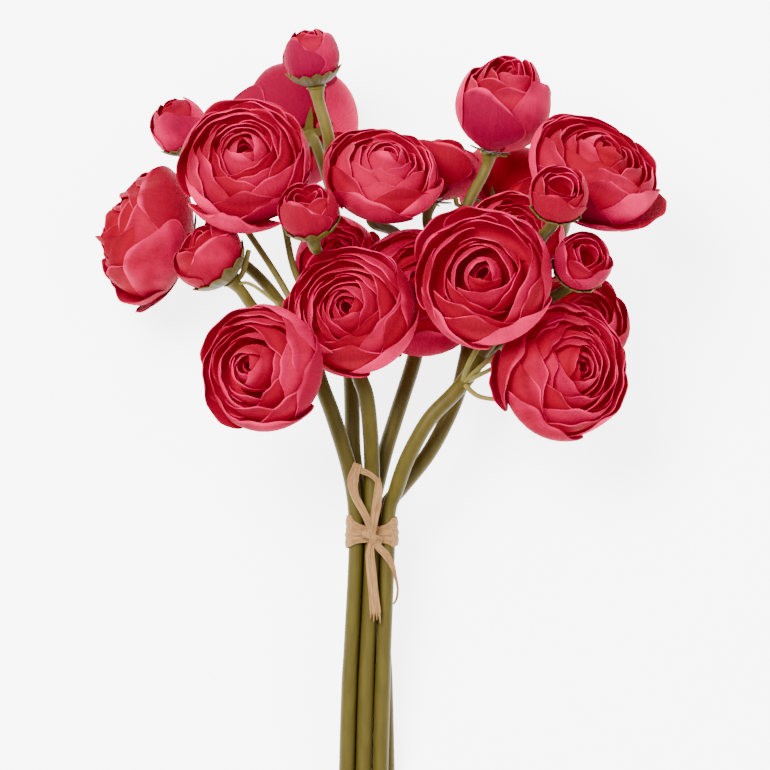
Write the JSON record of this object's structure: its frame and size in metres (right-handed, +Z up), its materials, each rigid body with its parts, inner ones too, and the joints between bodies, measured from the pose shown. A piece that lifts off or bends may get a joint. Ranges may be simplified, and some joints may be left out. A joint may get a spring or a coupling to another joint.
{
  "type": "persian buttercup flower bunch",
  "caption": "Tied bunch of artificial ranunculus: layered fabric blooms and buds on branching plastic stems, held by a raffia tie, lying down on its back.",
  "frame": {"origin": "on the ground under the middle of the bunch's bounding box", "axes": "+Z up from the ground the bunch lies on, +Y along the bunch from the cut stem ends to the heads, +X to the right of the side the heads face"},
  "size_m": [0.2132, 0.296, 0.1188],
  "materials": {
    "petals": "satin",
    "stems": "matt",
    "raffia": "matt"
  },
  "bodies": {
    "root": {"bloom_01": "petals", "bloom_02": "petals", "bloom_03": "petals", "bloom_04": "petals", "bloom_05": "petals", "bloom_06": "petals", "bloom_07": "petals", "bloom_08": "petals", "bloom_09": "petals", "bloom_10": "petals", "bloom_11": "petals", "bloom_12": "petals", "bloom_13": "petals", "bloom_14": "petals", "bloom_15": "petals", "bloom_16": "petals", "bud_1": "petals", "bud_2": "petals", "bud_3": "petals", "bud_4": "petals", "bud_5": "petals", "bud_6": "petals", "stem_1": "stems", "stem_2": "stems", "stem_3": "stems", "stem_4": "stems", "stem_5": "stems", "stem_6": "stems", "raffia_tie": "raffia"}
  },
  "joints": []
}
